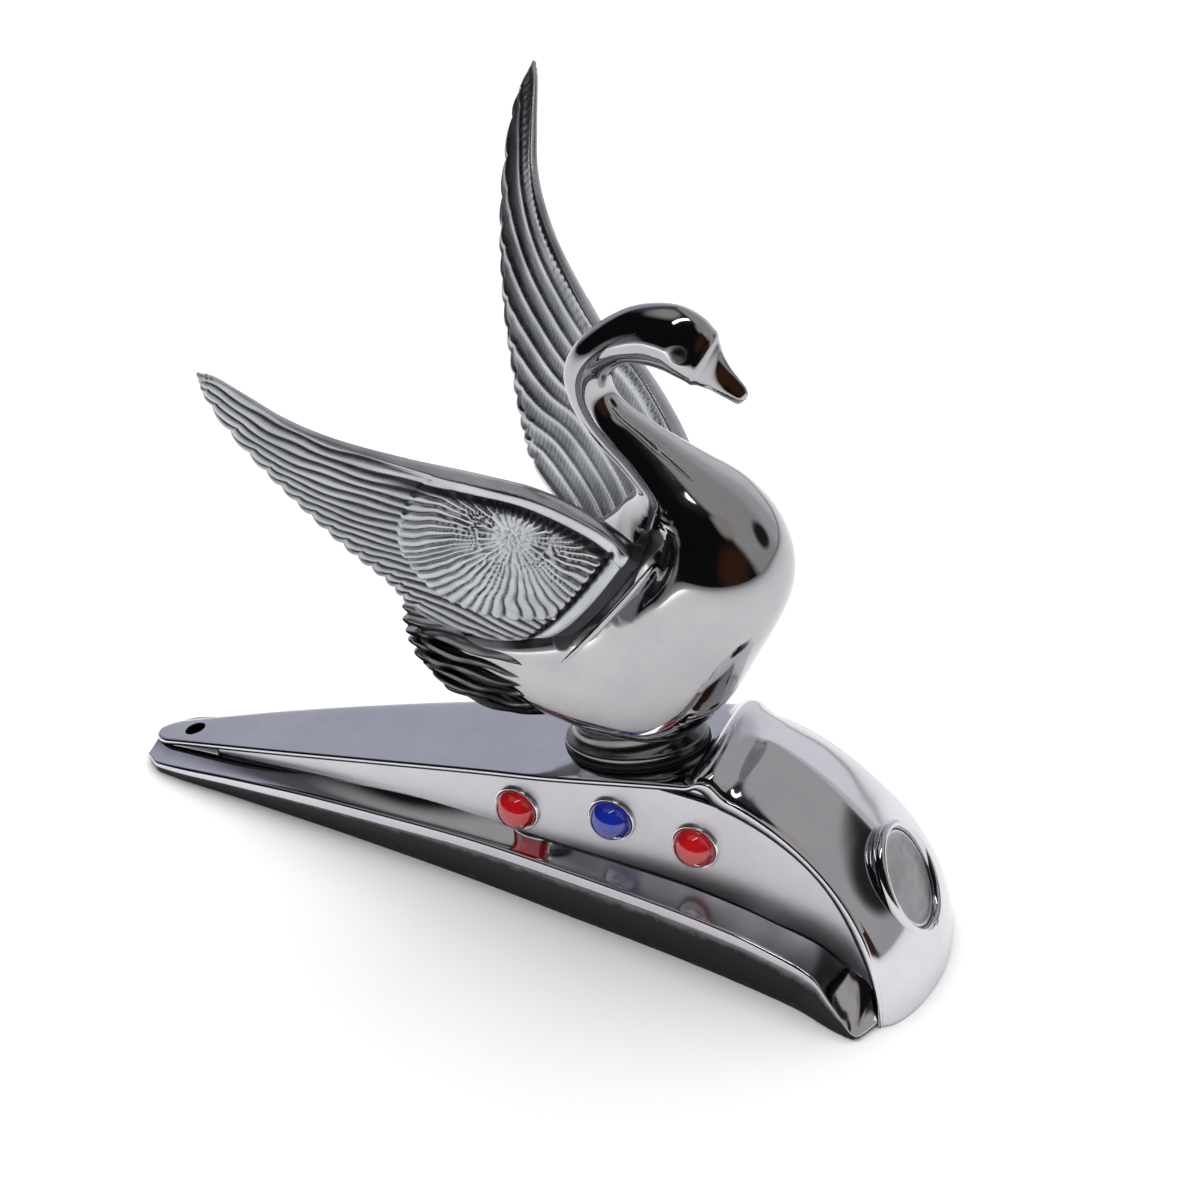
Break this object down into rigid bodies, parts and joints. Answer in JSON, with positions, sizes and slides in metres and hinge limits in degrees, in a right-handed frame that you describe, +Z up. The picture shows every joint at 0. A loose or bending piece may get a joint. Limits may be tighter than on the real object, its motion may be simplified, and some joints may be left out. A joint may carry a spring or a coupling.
{
  "type": "hood ornament",
  "caption": "Chrome swan with raised wings on a pedestal, bolted to a long wedge-shaped base with glass jewels on its sides and an oval medallion on its rounded nose.",
  "frame": {"origin": "below the middle of the ornament's box, on the surface that its gasket stands on", "axes": "+X to the nose and the beak, +Y to the ornament's left, +Z up"},
  "size_m": [0.2598, 0.1906, 0.2127],
  "materials": {
    "base_chrome": "mirror-bright plated die casting",
    "panel_chrome": "bright plated sheet, slightly soft reflection",
    "bezel_chrome": "mirror-bright ring",
    "swan_chrome": "mirror-bright plated die casting",
    "wing_chrome": "bright ridges with dull grey grooves",
    "jewel_red": "clear red glass over a foil back",
    "jewel_blue": "clear blue glass over a foil back",
    "fastener_steel": "zinc-plated steel",
    "rubber_seal": "matt black rubber"
  },
  "bodies": {
    "base": {"base_shell": "base_chrome", "base_gasket": "rubber_seal", "side_panel_right": "panel_chrome", "jewel_right_rear": "jewel_red", "bezel_right_rear": "bezel_chrome", "push_nut_right_rear": "fastener_steel", "jewel_right_middle": "jewel_blue", "bezel_right_middle": "bezel_chrome", "push_nut_right_middle": "fastener_steel", "jewel_right_front": "jewel_red", "bezel_right_front": "bezel_chrome", "push_nut_right_front": "fastener_steel", "side_panel_left": "panel_chrome", "jewel_left_rear": "jewel_red", "bezel_left_rear": "bezel_chrome", "push_nut_left_rear": "fastener_steel", "jewel_left_middle": "jewel_blue", "bezel_left_middle": "bezel_chrome", "push_nut_left_middle": "fastener_steel", "jewel_left_front": "jewel_red", "bezel_left_front": "bezel_chrome", "push_nut_left_front": "fastener_steel", "nose_medallion": "panel_chrome", "medallion_push_nut": "fastener_steel", "pedestal_gasket": "rubber_seal"},
    "swan": {"swan_body": "swan_chrome", "wing_right": "wing_chrome", "wing_dowel_right_front": "fastener_steel", "wing_dowel_right_rear": "fastener_steel", "wing_left": "wing_chrome", "wing_dowel_left_front": "fastener_steel", "wing_dowel_left_rear": "fastener_steel", "swan_pedestal": "swan_chrome", "mounting_bolt": "fastener_steel", "pedestal_screw_front": "fastener_steel", "pedestal_screw_rear": "fastener_steel"},
    "washers": {"flat_washer": "fastener_steel", "lock_washer": "fastener_steel"},
    "nut": {"mounting_nut": "fastener_steel"}
  },
  "joints": [
    {"name": "swan_swivel", "type": "hinge", "parent": "base", "child": "swan", "pos_m": [0.034, 0, 0.0551], "axis": [-0.2512, 0, 0.9679], "continuous": true},
    {"name": "nut_travel", "type": "slide", "parent": "swan", "child": "washers", "axis": [0.2512, 0, -0.9679], "range_m": [0, 0.00987]},
    {"name": "nut_turn", "type": "hinge", "parent": "washers", "child": "nut", "pos_m": [0.034, 0, 0.0551], "axis": [0.2512, 0, -0.9679], "range_deg": [0, 2520]}
  ],
  "couplings": [
    {"joint": "nut_turn", "follows": "nut_travel", "rad_per_m": 4452.4}
  ]
}
